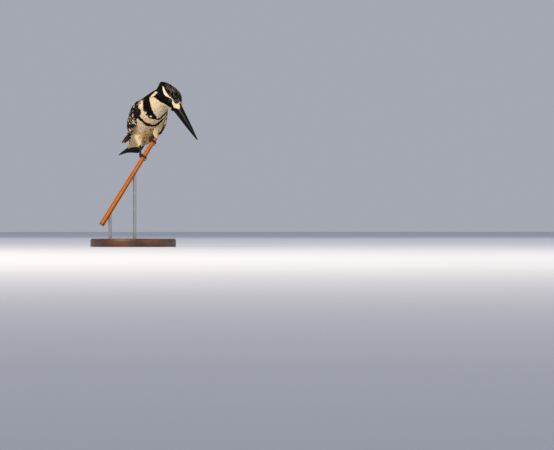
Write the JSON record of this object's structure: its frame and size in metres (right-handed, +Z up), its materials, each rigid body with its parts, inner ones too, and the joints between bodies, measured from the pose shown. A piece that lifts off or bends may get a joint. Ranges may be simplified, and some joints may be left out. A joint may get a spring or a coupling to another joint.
{
  "type": "pied kingfisher display model",
  "caption": "Life-size pied kingfisher leaning forward from a slanted cut reed, head turned down to its left, held on two rods above a round base.",
  "frame": {"origin": "centre of the round base's underside", "axes": "+Z up from the base; the bird's body faces -Y and +X is its left; the reed leans towards +X"},
  "size_m": [0.137, 0.1882, 0.2388],
  "materials": {
    "plumage_black": "black contour feathers with white edges",
    "plumage_white": "soft white contour feathers with two black breast bands",
    "bill_horn": "satin black horn",
    "foot_skin": "blackish scaled skin",
    "claw_horn": "glossy black horn",
    "eye": "very dark brown, wet gloss",
    "reed": "dry orange-tan reed, satin",
    "stand_wood": "oiled dark wood",
    "stand_metal": "brushed rod"
  },
  "bodies": {
    "root": {"head": "plumage_black", "neck": "plumage_white", "trunk": "plumage_white", "wing_left": "plumage_black", "wing_right": "plumage_black", "tail": "plumage_black", "thigh_left": "plumage_white", "thigh_right": "plumage_white", "bill_upper": "bill_horn", "bill_lower": "bill_horn", "eye_left": "eye", "eye_right": "eye", "foot_left": "foot_skin", "foot_right": "foot_skin", "claw_inner_left": "claw_horn", "claw_middle_left": "claw_horn", "claw_outer_left": "claw_horn", "claw_hind_left": "claw_horn", "claw_inner_right": "claw_horn", "claw_middle_right": "claw_horn", "claw_outer_right": "claw_horn", "claw_hind_right": "claw_horn", "perch_reed": "reed", "stand_base": "stand_wood", "stand_rod_1": "stand_metal", "stand_rod_2": "stand_metal"}
  },
  "joints": []
}
